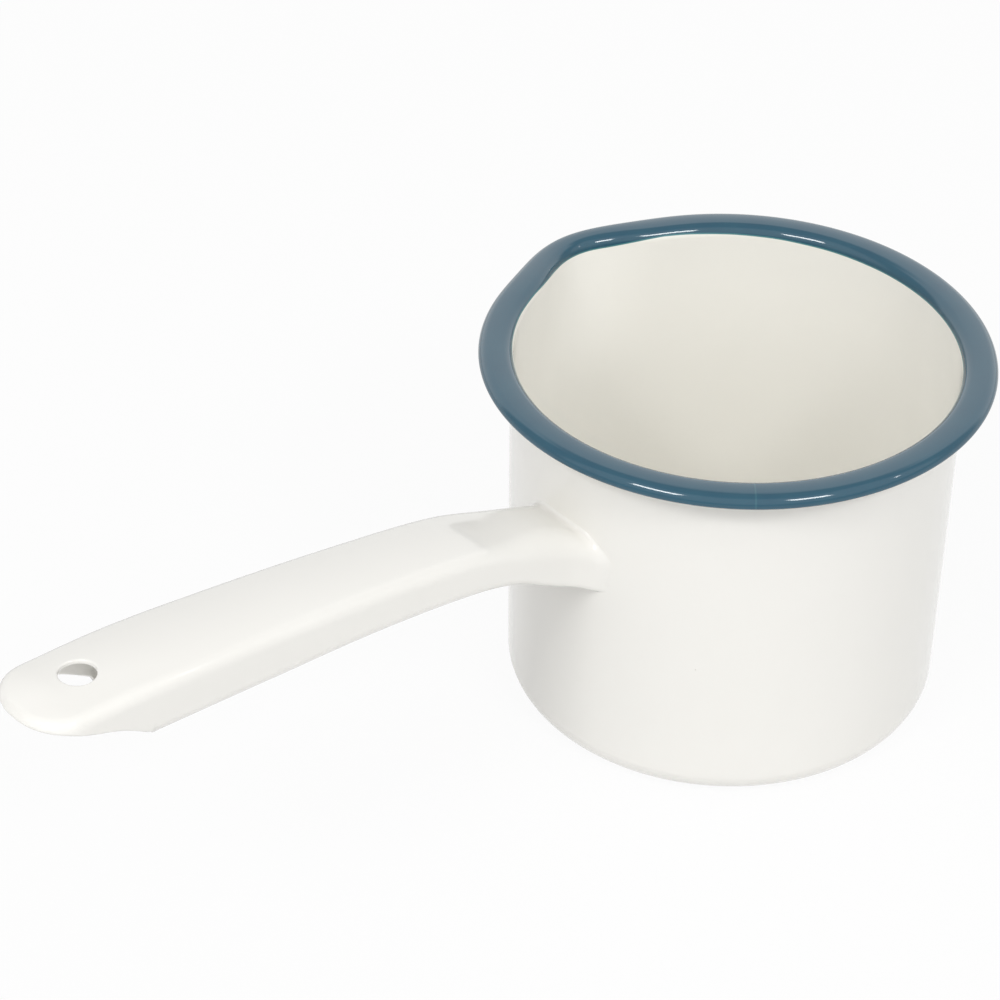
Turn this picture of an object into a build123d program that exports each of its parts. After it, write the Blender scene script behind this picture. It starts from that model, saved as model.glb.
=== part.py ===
from build123d import *
from math import asin, atan, cos, degrees, pi, radians, sin, sqrt
import os

# Enamelled milk pan: a drawn steel cup with a pouring spout and a rolled rim,
# and a folded steel handle welded to its wall, all under fused enamel.
# The origin is the centre of the underside. The handle points along -X,
# the spout along +Y, and +Z is up. Lengths are in millimetres, angles in degrees.

# Pan
rim_diameter = 140.0
rim_overhang = 8.45
pan_height = 108.6
base_diameter = 121.2
wall_top_diameter = rim_diameter - 2 * rim_overhang
base_corner_radius = 7.7
pan_sheet = 0.6
enamel = 0.2
wall = pan_sheet + 2 * enamel

# Rolled rim, as radii of the finished upper face
flare_radius = 2.6
flare_turn = 10.5
crown_radius = 11.0
curl_radius = 1.5
curl_end = -200.0

# Spout, measured from the finished rim
spout_azimuth = 90.0
spout_half_angle = 31.0
spout_inner_reach = 5.8
spout_outer_reach = 4.2
spout_dip = 0.8
spout_wall_lean = 10.0
spout_depth = 46.6
spout_steps = 10
spout_start_height = pan_height - spout_depth

# Handle: a sheet folded to a flattened tube that stays open along its underside.
# Its foot flares against the pan's wall, and its neck widens into the grip.
handle_sheet = 1.0
handle_wall = handle_sheet + 2 * enamel
handle_length = 171.9
neck_length = 18.8
tip_length = 11.6
foot_inset = 4.2
foot_drop = 31.4
neck_rise = 9.9
grip_rise = 18.1
foot_width = 32.0
neck_width = 22.8
grip_width = 28.4
foot_depth = 17.2
neck_depth = 13.4
grip_depth = 17.0

# Handle section
top_radius = 50.0
shoulder_radius = 4.5
under_radius = 3.5
slot_width = 10.0
foot_edge_width = 2.8
slot_height_share = 0.5

# Heights of the handle's crest, and its distances from the pan's axis
foot_crest = pan_height - foot_drop
neck_crest = foot_crest + neck_rise
grip_crest = neck_crest + grip_rise
foot_height_share = (foot_crest - base_corner_radius) / (pan_height - base_corner_radius)
wall_radius = (base_diameter + (wall_top_diameter - base_diameter) * foot_height_share) / 2
foot_start = wall_radius - foot_inset
neck_distance = wall_radius + neck_length
tip_distance = wall_radius + handle_length
grip_end = tip_distance - tip_length

# Shares of the way from foot to neck, in distance, crest, width and depth
foot_shares = [
    (0.0, 0.0, 0.0, 0.0),
    (0.17, 0.15, 0.30, 0.03),
    (0.35, 0.39, 0.74, 0.10),
    (0.61, 0.71, 1.0, 0.30),
    (1.0, 1.0, 1.0, 1.0),
]

# Shares of the way from neck to grip end, in distance, crest, width and depth
grip_shares = [
    (0.0, 0.0, 0.0, 0.0),
    (0.14, 0.30, 0.18, 0.22),
    (0.36, 0.58, 0.39, 0.44),
    (0.61, 0.81, 0.75, 0.80),
    (0.86, 0.98, 1.0, 1.0),
    (1.0, 1.0, 1.0, 1.0),
]

# Open tongue: the underside is cut away along a line from the tongue's start,
# in shares of the tongue's length towards the tip and of the grip's depth upward
tongue_length = 30.2
tongue_shares = [(0.0, -0.07), (0.18, 0.29), (0.48, 0.52), (0.79, 0.73), (1.22, 0.79)]
tongue_steepness = 2.4
hole_diameter = 9.4
hole_setback = 19.2

# Weld between the handle's foot and the wall
weld_thickness = 1.2

# How far a cutting solid stands past what it cuts
overrun = 10.0

# Widest gap between turned and shaped pieces that are joined into one
joint_tolerance = 0.001


def polar(centre, radius, angle):
    """Point at an angle on a circle in the section."""
    turn = radians(angle)
    return centre[0] + radius * cos(turn), centre[1] + radius * sin(turn)


def arc(centre, radius, start, end):
    """Arc about a centre between two angles, either way round."""
    middle = (start + end) / 2
    return ThreePointArc(
        polar(centre, radius, start),
        polar(centre, radius, middle),
        polar(centre, radius, end),
    )


# The pan's faces are told apart by their depth: 0 is the finished inner face,
# and wall is the finished outer face. Sections are drawn as (radius, height).
corner_centre = (base_diameter / 2 - base_corner_radius, base_corner_radius)
wall_lean = degrees(atan((wall_top_diameter - base_diameter) / 2 / (pan_height - base_corner_radius)))


def wall_point(depth, height):
    """Point of the straight wall at a depth, where the inner face has this height."""
    foot = polar(corner_centre, base_corner_radius - wall + depth, -wall_lean)
    inner_foot = polar(corner_centre, base_corner_radius - wall, -wall_lean)
    rise = (height - inner_foot[1]) / cos(radians(wall_lean))
    return foot[0] + rise * sin(radians(wall_lean)), foot[1] + rise * cos(radians(wall_lean))


def cup_curve(depth):
    """Floor, corner and lower wall of one face, from the axis up to the spout's start."""
    radius = base_corner_radius - wall + depth
    floor_height = wall - depth
    corner_start = polar(corner_centre, radius, -90)
    return [
        Line((0, floor_height), corner_start),
        arc(corner_centre, radius, -90, -wall_lean),
        Line(polar(corner_centre, radius, -wall_lean), wall_point(depth, spout_start_height)),
    ]


def rim_centres(spread):
    """Centres of the flare, crown and curl, where the spout has this share of its reach."""
    top = pan_height - spout_dip * spread
    crown_height = top - crown_radius
    flare_gap = crown_radius - flare_radius
    curl_gap = crown_radius - curl_radius
    flare_height = crown_height + flare_gap * cos(radians(flare_turn))
    wall_side = wall_point(0, flare_height + spout_dip * spread + flare_radius * sin(radians(wall_lean)))
    flare = (
        wall_side[0] + flare_radius * cos(radians(wall_lean)) + spout_inner_reach * spread,
        flare_height,
    )
    crown = (flare[0] + flare_gap * sin(radians(flare_turn)), crown_height)
    curl_radial = rim_diameter / 2 + spout_outer_reach * spread - curl_radius
    curl_turn = degrees(asin((curl_radial - crown[0]) / curl_gap))
    curl = (curl_radial, crown_height + curl_gap * cos(radians(curl_turn)))
    return flare, crown, curl, curl_turn


def upper_wall_curve(depth, spread):
    """Upper wall of one face, which leans out into the spout."""
    flare = rim_centres(spread)[0]
    lean = wall_lean + spout_wall_lean * spread
    start = wall_point(depth, spout_start_height)
    end = polar(flare, flare_radius - depth, 180 - lean)
    start_way = (sin(radians(wall_lean)), cos(radians(wall_lean)))
    end_way = (sin(radians(lean)), cos(radians(lean)))
    return Spline(start, end, tangents=[start_way, end_way])


def flare_curve(depth, spread):
    """Face of the flare, from the wall to the crown."""
    flare = rim_centres(spread)[0]
    lean = wall_lean + spout_wall_lean * spread
    return arc(flare, flare_radius - depth, 180 - lean, 90 + flare_turn)


def crown_curve(depth, spread):
    """Face of the rim's gently domed crown."""
    _, crown, _, curl_turn = rim_centres(spread)
    return arc(crown, crown_radius - depth, 90 + flare_turn, 90 - curl_turn)


def curl_curve(depth, spread):
    """Face of the rolled edge."""
    _, _, curl, curl_turn = rim_centres(spread)
    return arc(curl, curl_radius - depth, 90 - curl_turn, curl_end)


def band(curves_of, near_depth, far_depth, spread):
    """Closed outline between two depths of the same run of curves."""
    near = curves_of(near_depth, spread)
    far = curves_of(far_depth, spread)
    first_cap = Line(near[0] @ 0, far[0] @ 0)
    last_cap = Line(near[-1] @ 1, far[-1] @ 1)
    return Face(Wire(near + [last_cap] + far + [first_cap]))


def steel_run(depth, spread):
    """Every curve of the sheet above the spout's start."""
    parts = (upper_wall_curve, flare_curve, crown_curve, curl_curve)
    return [part(depth, spread) for part in parts]


def inner_run(depth, spread):
    """Curve of the inner enamel above the spout's start."""
    return [upper_wall_curve(depth, spread)]


def outer_run(depth, spread):
    """Curves of the outer enamel above the spout's start, as far as under the crown."""
    parts = (upper_wall_curve, flare_curve, crown_curve)
    return [part(depth, spread) for part in parts]


def rim_run(depth, spread):
    """Curves of the coloured rim enamel, over the rim to the rolled edge."""
    parts = (flare_curve, crown_curve, curl_curve)
    return [part(depth, spread) for part in parts]


def cup_run(depth, spread):
    """Curves below the spout's start, the same all round."""
    return cup_curve(depth)


def radial_plane(azimuth):
    """Plane through the axis, with X outward and Y up."""
    turn = radians(azimuth)
    return Plane(origin=(0, 0, 0), x_dir=(cos(turn), sin(turn), 0), z_dir=(sin(turn), -cos(turn), 0))


def spout_share(angle):
    """Share of the spout's reach at an angle from its middle."""
    return ((1 + cos(pi * angle / spout_half_angle)) / 2) ** 2


def upper_ring(curves_of, near_depth, far_depth):
    """Two pieces of one coat or sheet above the spout's start: a turned sector and the spout."""
    round_outline = band(curves_of, near_depth, far_depth, 0)
    end_azimuth = spout_azimuth + spout_half_angle
    round_part = revolve(
        radial_plane(end_azimuth) * round_outline,
        axis=Axis.Z,
        revolution_arc=360 - 2 * spout_half_angle,
    )
    sections = []
    for step in range(spout_steps + 1):
        angle = spout_half_angle * (2 * step / spout_steps - 1)
        outline = band(curves_of, near_depth, far_depth, spout_share(angle))
        sections.append(radial_plane(spout_azimuth + angle) * outline)
    return round_part, loft(sections)


def cup_and_ring(curves_of, near_depth, far_depth):
    """Whole coat or sheet, from the floor up through the ring above the spout's start."""
    outline = band(cup_run, near_depth, far_depth, 0)
    cup = revolve(Plane.XZ * outline, axis=Axis.Z)
    return cup.fuse(*upper_ring(curves_of, near_depth, far_depth), tol=joint_tolerance)


def pan_fill(depth):
    """Solid that fills the pan up to the rim, out to a face at this depth."""
    top = wall_point(depth, rim_centres(0)[0][1])
    curves = cup_curve(depth)
    curves.append(Line(curves[-1] @ 1, top))
    curves.append(Line(top, (0, top[1])))
    curves.append(Line((0, top[1]), curves[0] @ 0))
    return revolve(Plane.XZ * Face(Wire(curves)), axis=Axis.Z)


def between(first, last, share):
    """Value at a share of the way from the first to the last."""
    return first + (last - first) * share


def stations_between(first, last, shares):
    """Handle stations on the way between two, as distance, crest, width and depth."""
    return [tuple(between(*row) for row in zip(first, last, step)) for step in shares]


foot_station = (foot_start, foot_crest, foot_width, foot_depth)
neck_station = (neck_distance, neck_crest, neck_width, neck_depth)
grip_station = (grip_end, grip_crest, grip_width, grip_depth)
foot_stations = stations_between(foot_station, neck_station, foot_shares)
grip_stations = stations_between(neck_station, grip_station, grip_shares)


def half_tube_curves(station, inset):
    """Right half of the handle's section at an inset from the finished face, from crest to bottom."""
    _, crest, width, depth = station
    half_width = width / 2
    top_centre = (0, crest - top_radius)
    side = half_width - shoulder_radius
    shoulder_drop = sqrt((top_radius - shoulder_radius) ** 2 - side**2)
    shoulder_centre = (side, top_centre[1] + shoulder_drop)
    shoulder_angle = 90 - degrees(asin(side / (top_radius - shoulder_radius)))
    under_centre = (half_width - under_radius, crest - depth + under_radius)
    return [
        arc(top_centre, top_radius - inset, 90, shoulder_angle),
        arc(shoulder_centre, shoulder_radius - inset, shoulder_angle, 0),
        Line((half_width - inset, shoulder_centre[1]), (half_width - inset, under_centre[1])),
        arc(under_centre, under_radius - inset, 0, -90),
        Line((under_centre[0], crest - depth + inset), (0, crest - depth + inset)),
    ]


def station_plane(distance):
    """Upright plane across the handle, at a distance from the pan's axis."""
    return Plane(origin=(-distance, 0, 0), x_dir=(0, 1, 0), z_dir=(1, 0, 0))


def tube_section(station, inset):
    """Whole section of the handle at one station."""
    half = half_tube_curves(station, inset)
    other = [curve.mirror(Plane.YZ) for curve in half]
    return station_plane(station[0]) * Face(Wire(half + other))


def tube(inset):
    """The handle's flattened tube with its blunt round end, at an inset from the finished face."""
    foot = loft([tube_section(station, inset) for station in foot_stations])
    grip = loft([tube_section(station, inset) for station in grip_stations])
    half = half_tube_curves(grip_station, inset)
    seam = Line(half[-1] @ 1, half[0] @ 0)
    half_face = station_plane(0) * Face(Wire(half + [seam]))
    end = revolve(half_face, axis=Axis.Z, revolution_arc=180)
    length_share = (tip_length - inset) / (grip_width / 2 - inset)
    end = Pos(-grip_end, 0, 0) * scale(end, by=(length_share, 1, 1))
    return foot.fuse(grip, end, tol=joint_tolerance)


def slot_section(station, width):
    """Outline at one station of what opens the handle's underside."""
    distance, crest, _, depth = station
    low = crest - depth - overrun
    high = crest - depth * slot_height_share
    return station_plane(distance) * Pos(0, (low + high) / 2) * Rectangle(width, high - low)


def slot(edge_gap):
    """Solid that opens the handle's underside, drawn in by a gap at each edge."""
    sections = []
    for station in foot_stations[:-1]:
        sections.append(slot_section(station, station[2] - 2 * foot_edge_width - 2 * edge_gap))
    for station in grip_stations:
        sections.append(slot_section(station, slot_width - 2 * edge_gap))
    return loft(sections, ruled=True)


def tongue_cut(edge_gap):
    """Solid that cuts the underside away below the tongue."""
    start = tip_distance - tongue_length
    underside = grip_crest - grip_depth - edge_gap
    points = []
    for length_share, depth_share in tongue_shares:
        points.append((-start - tongue_length * length_share, underside + grip_depth * depth_share))
    floor = underside - overrun
    outline = [
        Spline(points, tangents=[(-1, tongue_steepness), (-1, 0)]),
        Line(points[-1], (points[-1][0], floor)),
        Line((points[-1][0], floor), (points[0][0], floor)),
        Line((points[0][0], floor), points[0]),
    ]
    return extrude(Plane.XZ * Face(Wire(outline)), grip_width / 2 + overrun, both=True)


def hanging_hole(edge_gap):
    """Cylinder that cuts the hanging hole through the top of the tongue."""
    low = grip_crest - grip_depth * slot_height_share
    high = grip_crest + overrun
    place = Pos(hole_setback - tip_distance, 0, (low + high) / 2)
    return place * Cylinder(hole_diameter / 2 + enamel - edge_gap, high - low)


def folded_sheet(outer_inset, inner_inset, edge_gap):
    """The folded handle between two insets, with its slot, tongue and hole."""
    sheet = tube(outer_inset) - tube(inner_inset)
    return sheet - slot(edge_gap) - tongue_cut(edge_gap) - hanging_hole(edge_gap)


def one_solid(shape):
    """The single solid of a result that holds only one."""
    solids = shape.solids()
    return solids[0] if len(solids) == 1 else shape


steel_near = enamel
steel_far = enamel + pan_sheet
wall_steel_face = pan_fill(steel_far)

handle_steel = folded_sheet(enamel, enamel + handle_sheet, 0) - wall_steel_face
weld_zone = pan_fill(steel_far + weld_thickness)
handle_weld = handle_steel & weld_zone
handle_shell = handle_steel - weld_zone
handle_enamel = folded_sheet(0, handle_wall, enamel) - handle_steel - pan_fill(wall)

pan_shell = cup_and_ring(steel_run, steel_near, steel_far)
inner_enamel = cup_and_ring(inner_run, 0, steel_near)
outer_enamel = cup_and_ring(outer_run, steel_far, wall) - handle_steel
rim_sector, rim_spout = upper_ring(rim_run, 0, steel_near)
rim_enamel = rim_sector.fuse(rim_spout, tol=joint_tolerance)

nodes = {
    "pan_shell": pan_shell,
    "inner_enamel": inner_enamel,
    "outer_enamel": outer_enamel,
    "rim_enamel": rim_enamel,
    "handle_shell": handle_shell,
    "handle_weld": handle_weld,
    "handle_enamel": handle_enamel,
}

os.makedirs("parts", exist_ok=True)
for node, shape in nodes.items():
    export_step(one_solid(shape), f"parts/{node}.step")
    size = shape.bounding_box().size
    print(node, len(shape.solids()), round(shape.volume, 1), [round(v, 2) for v in size])
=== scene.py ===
from math import asin, atan, atan2, cos, degrees, hypot, pi, radians, sin, sqrt, tan

import bmesh
import bpy
import numpy as np
from mathutils import Matrix, Vector


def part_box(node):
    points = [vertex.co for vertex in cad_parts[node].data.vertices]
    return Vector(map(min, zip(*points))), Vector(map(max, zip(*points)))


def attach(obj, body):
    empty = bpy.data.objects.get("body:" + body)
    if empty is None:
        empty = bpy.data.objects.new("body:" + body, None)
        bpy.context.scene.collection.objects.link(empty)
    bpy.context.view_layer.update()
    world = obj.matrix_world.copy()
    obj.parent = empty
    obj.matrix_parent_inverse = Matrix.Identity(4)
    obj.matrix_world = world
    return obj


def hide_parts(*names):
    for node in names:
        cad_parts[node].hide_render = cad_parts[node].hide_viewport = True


# Enamelled milk pan: steel sheet under fused enamel, with a painted rolled rim,
# a pouring spout and a folded handle. Lengths are in metres, angles in degrees.
# The origin is the centre of the underside, the handle points along -X and the
# spout along +Y. Sections are drawn as (distance from the axis, height).
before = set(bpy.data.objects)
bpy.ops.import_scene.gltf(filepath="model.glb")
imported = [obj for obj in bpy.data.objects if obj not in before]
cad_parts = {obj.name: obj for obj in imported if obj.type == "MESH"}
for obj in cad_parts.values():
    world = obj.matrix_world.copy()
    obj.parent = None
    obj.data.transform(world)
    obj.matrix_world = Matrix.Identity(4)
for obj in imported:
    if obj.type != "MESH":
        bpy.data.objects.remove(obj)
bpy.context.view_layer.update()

# Sizes that the frame gives
rim_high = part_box("rim_enamel")[1]
handle_low, handle_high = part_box("handle_enamel")
pan_height = rim_high.z
rim_radius = rim_high.x
spout_outer_reach = rim_high.y - rim_high.x
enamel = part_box("pan_shell")[0].z
pan_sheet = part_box("inner_enamel")[0].z - enamel
wall = pan_sheet + 2 * enamel
grip_crest = handle_high.z
tip_distance = -handle_low.x

# Pan's section
base_radius = 0.0606
rim_overhang = 0.00845
wall_top_radius = rim_radius - rim_overhang
base_corner = 0.0077
flare_radius = 0.0033
flare_turn = 8.8
crown_radius = 0.0132
roll_radius = 0.0031
roll_turn = 76.0
curl_radius = 0.00115
curl_end = -200.0

# Spout
spout_azimuth = 90.0
spout_half_angle = 31.0
spout_inner_reach = 0.0058
spout_dip = 0.0008
spout_wall_lean = 10.0
spout_depth = 0.0466
spout_start = pan_height - spout_depth

# Fineness of the pan's meshes
azimuth_steps = 288
floor_steps = 10
arc_step = 6.0
wall_step = 0.0014
same_place = 0.000001
sharp_corner = 38.0

# Handle
handle_sheet = 0.001
handle_wall = handle_sheet + 2 * enamel
foot_distance = 0.05705
neck_distance = 0.0865
tip_length = 0.0116
grip_end = tip_distance - tip_length
foot_crest = 0.0772
neck_crest = 0.0889
foot_width = 0.032
neck_width = 0.0231
grip_width = 0.0284
foot_depth = 0.0172
neck_depth = 0.01375
grip_depth = 0.017
top_radius = 0.05
shoulder_radius = 0.0038
under_radius = 0.0035
root_shoulder = 0.0075
root_under = 0.0015
rounding_start = 0.072
rounding_end = 0.098
slot_half = 0.005
foot_edge = 0.0022
skirt_end = 0.074
flange_start = 0.088
fillet_radius = 0.003
fillet_flank = 0.0038
fillet_top = 0.0018
fillet_bottom = 0.001
fillet_pull = 0.6
core_fillet = 0.4
wall_sink = 0.00005
hole_radius = 0.0047
hole_round = 0.0005
hole_patch = 0.0064
hole_setback = 0.0192
hole_distance = tip_distance - hole_setback
hole_from = hole_distance - hole_patch
hole_to = hole_distance + hole_patch
tongue_length = 0.032
tongue_start = tip_distance - tongue_length
flange_end = 0.0016
tip_squareness = 2.2
line_blur = 0.003

# Fineness of the handle's meshes
crown_columns = 12
side_columns = 34
edge_columns = 7
loop_columns = 2 * (crown_columns + side_columns) + edge_columns - 1
flank_fade = 17
path_steps = 24
row_step = 0.0015
fine_row = 0.0002
hole_row = 0.001
hole_rows = 12
hole_round_steps = 5
patch_rings = 4
last_rows = 3
tip_columns = 24
fillet_rows = 8
seam_rows = 4

# Shares of the way along the handle, in distance, crest, width and depth
foot_shares = [
    (0.0, 0.0, 0.0, 0.0),
    (0.13, 0.10, 0.31, 0.0),
    (0.27, 0.32, 0.76, 0.02),
    (0.48, 0.60, 1.03, 0.08),
    (0.66, 0.76, 1.05, 0.35),
    (0.82, 0.87, 1.03, 0.75),
]
grip_shares = [
    (0.0, 0.0, 0.0, 0.0),
    (0.10, 0.22, 0.13, 0.135),
    (0.33, 0.53, 0.355, 0.38),
    (0.59, 0.79, 0.735, 0.78),
    (0.85, 0.98, 1.0, 1.0),
    (1.0, 1.0, 1.0, 1.0),
]

# Shares of the open tongue's span, in distance and height of its edge
tongue_shares = [
    (0.0, 0.0),
    (0.15, 0.19),
    (0.28, 0.335),
    (0.40, 0.435),
    (0.53, 0.52),
    (0.65, 0.61),
    (0.78, 0.71),
    (0.90, 0.76),
    (1.2, 0.785),
]


def polar(centre, radius, angle):
    """Point at an angle on a circle in a section."""
    turn = radians(angle)
    return centre[0] + radius * cos(turn), centre[1] + radius * sin(turn)


def arc_points(centre, radius, start, end):
    """Evenly spaced points along an arc in a section."""
    steps = max(2, round(abs(end - start) / arc_step))
    return [polar(centre, radius, start + (end - start) * step / steps) for step in range(steps + 1)]


def line_points(start, end, steps):
    """Evenly spaced points along a straight line in a section."""
    ways = [step / steps for step in range(steps + 1)]
    return [(start[0] + (end[0] - start[0]) * way, start[1] + (end[1] - start[1]) * way) for way in ways]


# Centres of the pan's arcs. A face is told by its depth: 0 is the inside, wall is the outside.
wall_lean = degrees(atan((wall_top_radius - base_radius) / (pan_height - base_corner)))
corner_centre = (base_radius - base_corner, base_corner)


def wall_point(depth, height):
    """Point of the straight wall at a depth, where the inner face has this height."""
    foot = polar(corner_centre, base_corner - wall + depth, -wall_lean)
    inner_foot = polar(corner_centre, base_corner - wall, -wall_lean)
    rise = (height - inner_foot[1]) / cos(radians(wall_lean))
    return foot[0] + rise * sin(radians(wall_lean)), foot[1] + rise * cos(radians(wall_lean))


def rim_centres():
    """Centres of the flare, crown, roll and curl, and how far the crown turns to the roll."""
    crown_level = pan_height - crown_radius
    flare_gap = crown_radius - flare_radius
    flare_height = crown_level + flare_gap * cos(radians(flare_turn))
    line = wall_point(0, flare_height + flare_radius * sin(radians(wall_lean)))
    flare = (line[0] + flare_radius * cos(radians(wall_lean)), flare_height)
    crown = (flare[0] + flare_gap * sin(radians(flare_turn)), crown_level)
    curl_distance = rim_radius - curl_radius
    roll_gap = crown_radius - roll_radius
    roll_distance = curl_distance - (roll_radius - curl_radius) * sin(radians(roll_turn))
    turn = degrees(asin((roll_distance - crown[0]) / roll_gap))
    roll = (roll_distance, crown_level + roll_gap * cos(radians(turn)))
    curl = (curl_distance, roll[1] + (roll_radius - curl_radius) * cos(radians(roll_turn)))
    return flare, crown, roll, curl, turn


flare_centre, crown_centre, roll_centre, curl_centre, crown_turn = rim_centres()
wall_end = polar(flare_centre, flare_radius, 180 - wall_lean)


def floor_part(depth):
    """Floor, from the axis to the corner."""
    end = polar(corner_centre, base_corner - wall + depth, -90)
    return line_points((0, end[1]), end, floor_steps)


def corner_part(depth):
    """Rounded corner between the floor and the wall."""
    return arc_points(corner_centre, base_corner - wall + depth, -90, -wall_lean)


def wall_part(depth):
    """Wall, from the corner to the flare."""
    start = polar(corner_centre, base_corner - wall + depth, -wall_lean)
    end = polar(flare_centre, flare_radius - depth, 180 - wall_lean)
    return line_points(start, end, round((end[1] - start[1]) / wall_step))


def flare_part(depth):
    """Flare, from the wall to the crown."""
    return arc_points(flare_centre, flare_radius - depth, 180 - wall_lean, 90 + flare_turn)


def crown_part(depth):
    """Gently domed crown of the rim."""
    return arc_points(crown_centre, crown_radius - depth, 90 + flare_turn, 90 - crown_turn)


def roll_part(depth):
    """Outer shoulder of the rim."""
    return arc_points(roll_centre, roll_radius - depth, 90 - crown_turn, 90 - roll_turn)


def curl_part(depth):
    """Edge turned in under the rim."""
    return arc_points(curl_centre, curl_radius - depth, 90 - roll_turn, curl_end)


def face_run(parts, depth):
    """Points of one face at a depth, through the given parts of the section."""
    points = []
    for part in parts:
        for point in part(depth):
            if not points or hypot(point[0] - points[-1][0], point[1] - points[-1][1]) > same_place:
                points.append(point)
    return points


def add_node(tree, kind, inputs=None, **settings):
    """Adds a node, sets its properties, and joins or sets its inputs."""
    node = tree.nodes.new(kind)
    for name, value in settings.items():
        setattr(node, name, value)
    for key, value in (inputs or {}).items():
        if isinstance(value, bpy.types.NodeSocket):
            tree.links.new(value, node.inputs[key])
        else:
            node.inputs[key].default_value = value
    return node


def maths(tree, operation, *values, clamp=False):
    """Result of one sum on sockets and numbers."""
    node = add_node(tree, "ShaderNodeMath", dict(enumerate(values)), operation=operation, use_clamp=clamp)
    return node.outputs[0]


def mix_colours(tree, share, first, second):
    """Colour that goes from the first to the second as the share goes from 0 to 1."""
    return add_node(tree, "ShaderNodeMix", {0: share, 6: first, 7: second}, data_type="RGBA").outputs[2]


def map_range(tree, value, kind="LINEAR", **ends):
    """Value moved from one range to another and kept within it."""
    sockets = {name.replace("_", " ").title(): end for name, end in ends.items()}
    node = add_node(tree, "ShaderNodeMapRange", {"Value": value, **sockets}, interpolation_type=kind)
    return node.outputs[0]


def soft_step(tree, value, start, end):
    """Smooth way from 0 at the start to 1 at the end."""
    return map_range(tree, value, "SMOOTHSTEP", from_min=start, from_max=end)


def noise(tree, place, scale, detail):
    """Cloudy noise between 0 and 1."""
    node = add_node(tree, "ShaderNodeTexNoise", {"Vector": place, "Scale": scale, "Detail": detail})
    return node.outputs[0]


def name_sockets(tree, way, **kinds):
    """Names a tree's inputs or outputs, kind by kind."""
    for kind, names in kinds.items():
        for name in names:
            tree.interface.new_socket(name=name, in_out=way, socket_type="NodeSocket" + kind)


def spout_push(tree, given, angle, distance, height):
    """New distance and height of a point once the spout has been pressed out."""
    relative = maths(tree, "WRAP", maths(tree, "SUBTRACT", angle, given["Spout Azimuth"]), pi, -pi)
    way = maths(tree, "DIVIDE", maths(tree, "ABSOLUTE", relative), given["Spout Half Angle"], clamp=True)
    wave = maths(tree, "MULTIPLY_ADD", maths(tree, "COSINE", maths(tree, "MULTIPLY", way, pi)), 0.5, 0.5)
    share = maths(tree, "MULTIPLY", wave, wave)
    span = maths(tree, "SUBTRACT", given["Line Height"], given["Spout Start"])
    rise = maths(tree, "DIVIDE", maths(tree, "SUBTRACT", height, given["Spout Start"]), span, clamp=True)
    lean = maths(tree, "DIVIDE", maths(tree, "MULTIPLY", given["Spout Slope"], span), given["Inner Reach"])
    square_term = maths(tree, "SUBTRACT", 3.0, lean)
    cube_term = maths(tree, "MULTIPLY", maths(tree, "SUBTRACT", lean, 2.0), rise)
    square = maths(tree, "MULTIPLY", rise, rise)
    bend = maths(tree, "MULTIPLY", square, maths(tree, "ADD", square_term, cube_term))
    past_wall = maths(tree, "SUBTRACT", distance, given["Wall Top"])
    rimward = maths(tree, "DIVIDE", past_wall, given["Flare Radius"], clamp=True)
    strength = maths(tree, "MULTIPLY", maths(tree, "MAXIMUM", bend, rimward), share)
    past_flare = maths(tree, "SUBTRACT", distance, given["Flare Distance"])
    rim_span = maths(tree, "SUBTRACT", given["Curl Distance"], given["Flare Distance"])
    across = maths(tree, "DIVIDE", past_flare, rim_span, clamp=True)
    reach_change = maths(tree, "SUBTRACT", given["Outer Reach"], given["Inner Reach"])
    reach = maths(tree, "MULTIPLY_ADD", across, reach_change, given["Inner Reach"])
    new_distance = maths(tree, "MULTIPLY_ADD", strength, reach, distance)
    drop = maths(tree, "MULTIPLY", strength, given["Dip"])
    return new_distance, maths(tree, "SUBTRACT", height, drop)


# Sizes that the coat's tree takes by name
coat_sizes = {
    "Spout Azimuth": radians(spout_azimuth),
    "Spout Half Angle": radians(spout_half_angle),
    "Inner Reach": spout_inner_reach,
    "Outer Reach": spout_outer_reach,
    "Dip": spout_dip,
    "Spout Slope": tan(radians(spout_wall_lean)),
    "Spout Start": spout_start,
    "Line Height": wall_end[1],
    "Wall Top": wall_top_radius,
    "Flare Radius": flare_radius,
    "Flare Distance": flare_centre[0],
    "Curl Distance": curl_centre[0],
    "Same Place": same_place,
}


def at_index(tree, outline, value, index, kind):
    """Value that the outline has at an index."""
    given = {"Geometry": outline, "Value": value, "Index": index}
    return add_node(tree, "GeometryNodeSampleIndex", given, data_type=kind).outputs[0]


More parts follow.
